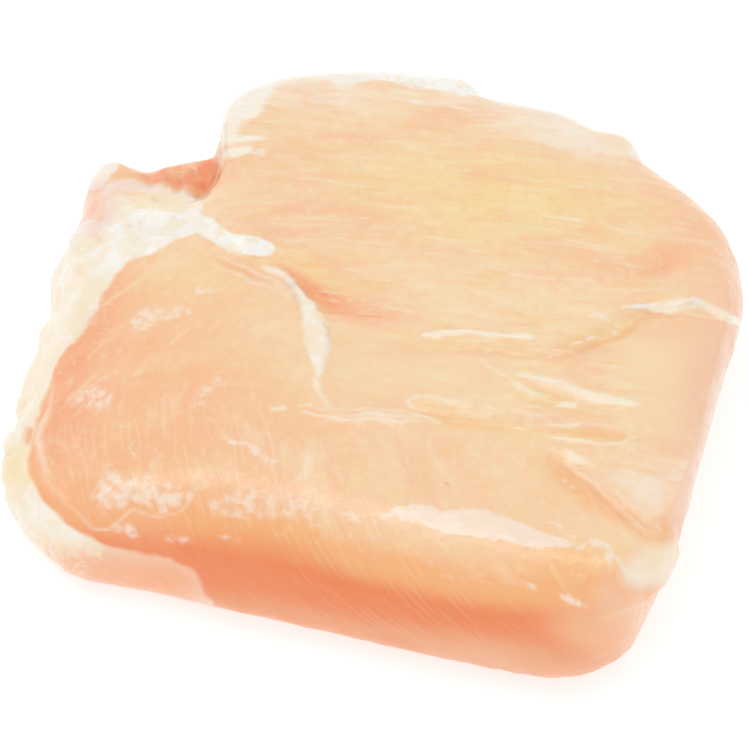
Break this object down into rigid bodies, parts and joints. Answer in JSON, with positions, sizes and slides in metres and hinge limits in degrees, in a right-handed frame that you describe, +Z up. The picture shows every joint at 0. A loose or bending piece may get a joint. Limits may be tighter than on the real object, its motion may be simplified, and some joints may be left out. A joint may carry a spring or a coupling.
{
  "type": "raw chicken breast",
  "caption": "Raw boneless chicken breast, skinned: a thick slab with a folded left lobe, a collar of fat and a cut front and side, lying flat.",
  "frame": {"origin": "centre of the bounding box in plan, on the flat face that the breast lies on", "axes": "+Z up out of the lying face, +Y towards the round back of the large lobe, +X towards the straight cut side; the deep shoulder of the front faces -Y"},
  "size_m": [0.1522, 0.1508, 0.0303],
  "materials": {
    "meat": "wet raw chicken meat, peach to yellow, with cream fat at the left side and along the seam"
  },
  "bodies": {
    "root": {"chicken_breast": "meat"}
  },
  "joints": []
}
